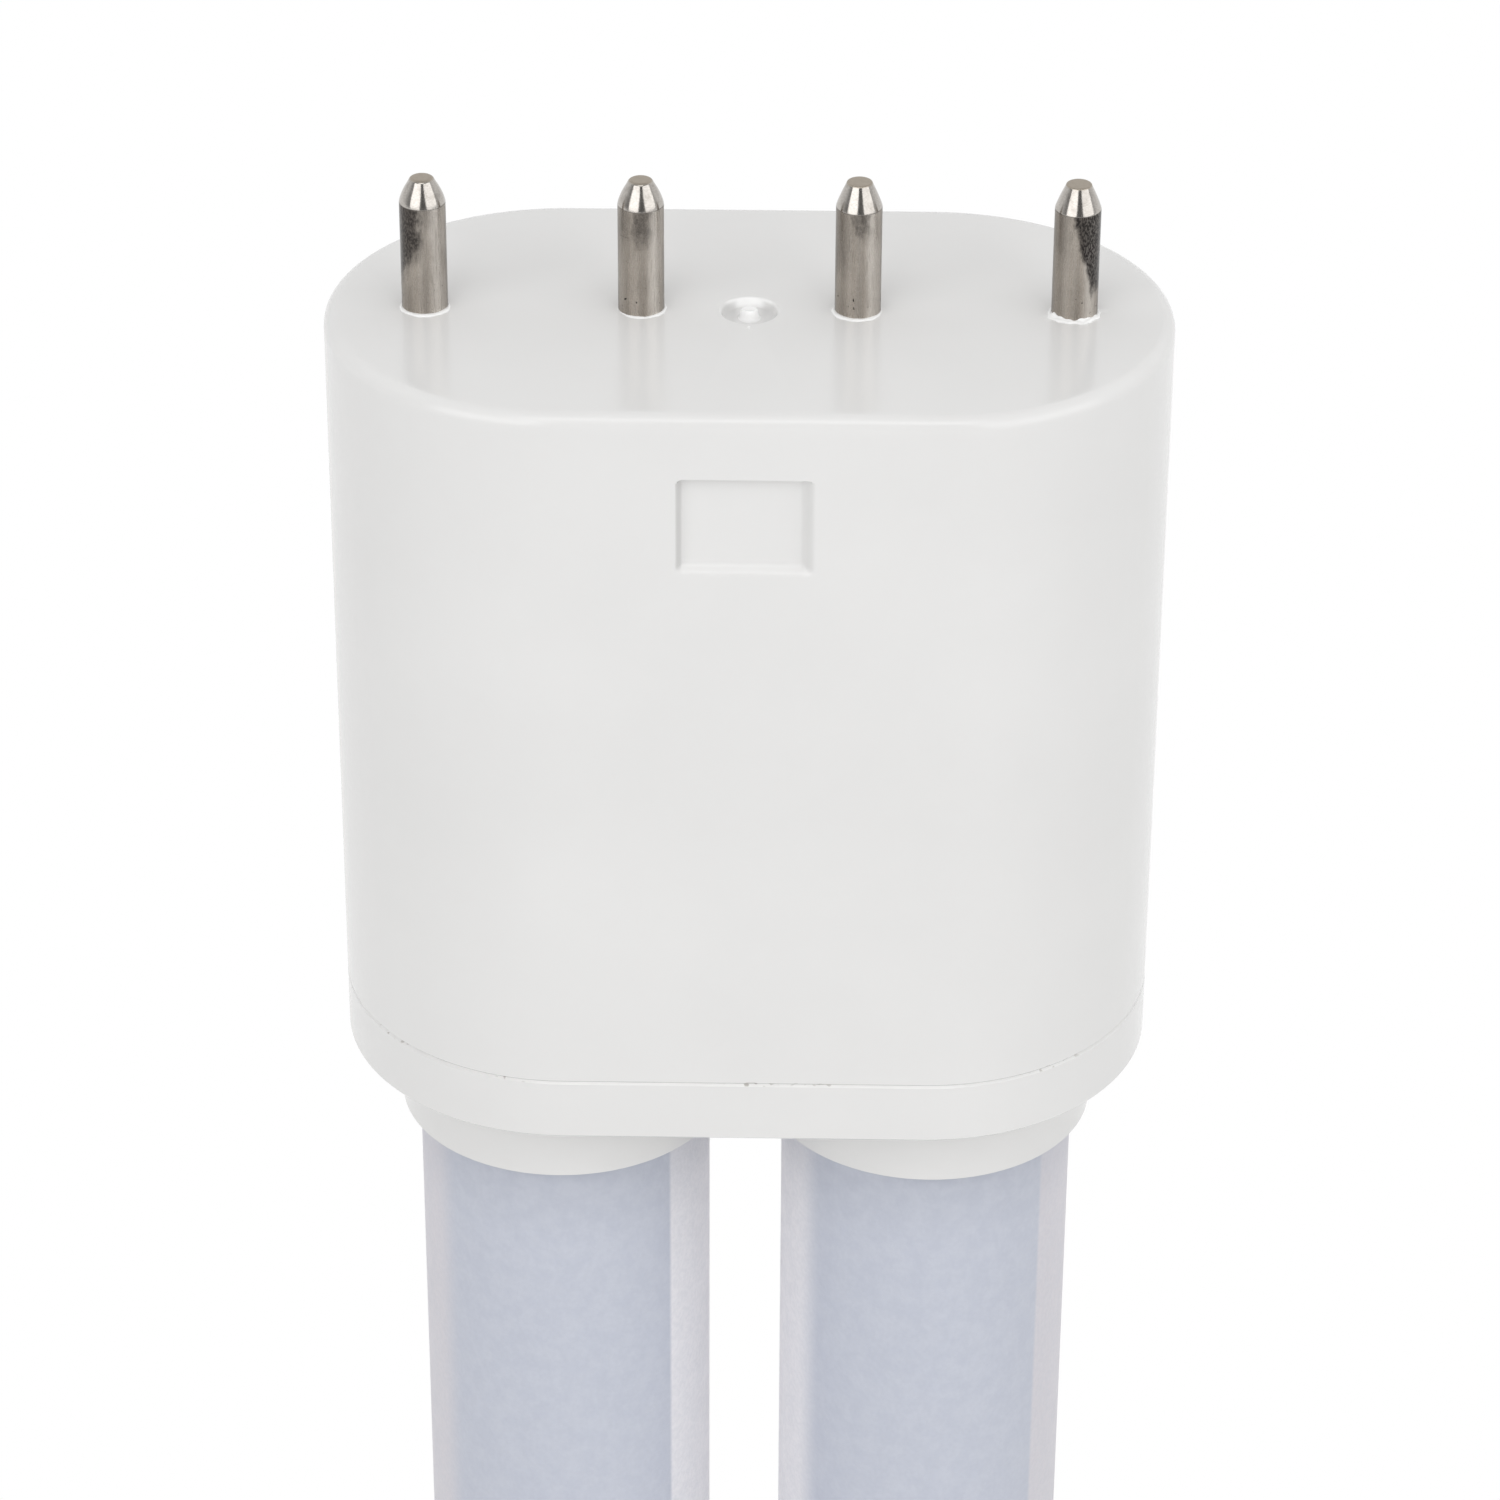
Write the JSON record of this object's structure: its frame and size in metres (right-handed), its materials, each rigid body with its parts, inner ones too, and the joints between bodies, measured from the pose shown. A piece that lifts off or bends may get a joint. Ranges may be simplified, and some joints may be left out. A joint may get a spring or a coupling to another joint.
{
  "type": "pin-base led tube",
  "caption": "Twin-tube plug-in LED lamp: flattened white cap with round contact pins in a row, a collar with tube sockets, frosted tubes and a white end bridge.",
  "frame": {"origin": "middle of the flat far end of the end bridge, which the lamp stands on", "axes": "+Z along the tubes towards the contact pins, +X along the pin row, -Y out of the broad face that the picture shows"},
  "size_m": [0.0434, 0.0244, 0.2252],
  "materials": {
    "housing": "glossy moulded white plastic",
    "frosted_tube": "frosted glass, bluish grey where the back of the board shows behind it",
    "contact_pin": "nickel plated, lightly brushed and stained, bright at the cone",
    "white_wire": "silicone insulation",
    "red_wire": "silicone insulation",
    "black_wire": "silicone insulation",
    "led_board": "aluminium core, white solder mask on the side of the LEDs, bare on the other",
    "led_chip": "white package with a yellow phosphor window",
    "driver_board": "green solder mask",
    "resistor_body": "ceramic coated",
    "varistor_coat": "epoxy coated",
    "film_box": "moulded box",
    "ferrite": "sintered ferrite",
    "black_package": "moulded epoxy",
    "can_sleeve": "aluminium can in a plain shrink sleeve",
    "winding_tape": "polyester tape over enamelled wire"
  },
  "bodies": {
    "root": {"base_cap": "housing", "base_collar": "housing", "end_bridge": "housing", "tube_left": "frosted_tube", "tube_right": "frosted_tube", "contact_pin_1": "contact_pin", "contact_pin_2": "contact_pin", "contact_pin_3": "contact_pin", "contact_pin_4": "contact_pin", "pin_lead_1": "white_wire", "pin_lead_2": "white_wire", "pin_lead_3": "white_wire", "pin_lead_4": "white_wire", "led_board_left": "led_board", "led_board_right": "led_board", "led_chips_left": "led_chip", "led_chips_right": "led_chip", "led_lead_left_positive": "red_wire", "led_lead_left_negative": "black_wire", "led_lead_right_positive": "red_wire", "led_lead_right_negative": "black_wire", "driver_board": "driver_board", "fuse_resistor": "resistor_body", "varistor": "varistor_coat", "film_capacitor": "film_box", "input_choke": "ferrite", "bridge_rectifier": "black_package", "bulk_capacitor": "can_sleeve", "output_capacitor": "can_sleeve", "transformer_core": "ferrite", "transformer_bobbin": "black_package", "transformer_winding": "winding_tape", "controller_chip": "black_package", "output_diode": "black_package", "chip_resistors": "black_package"}
  },
  "joints": []
}
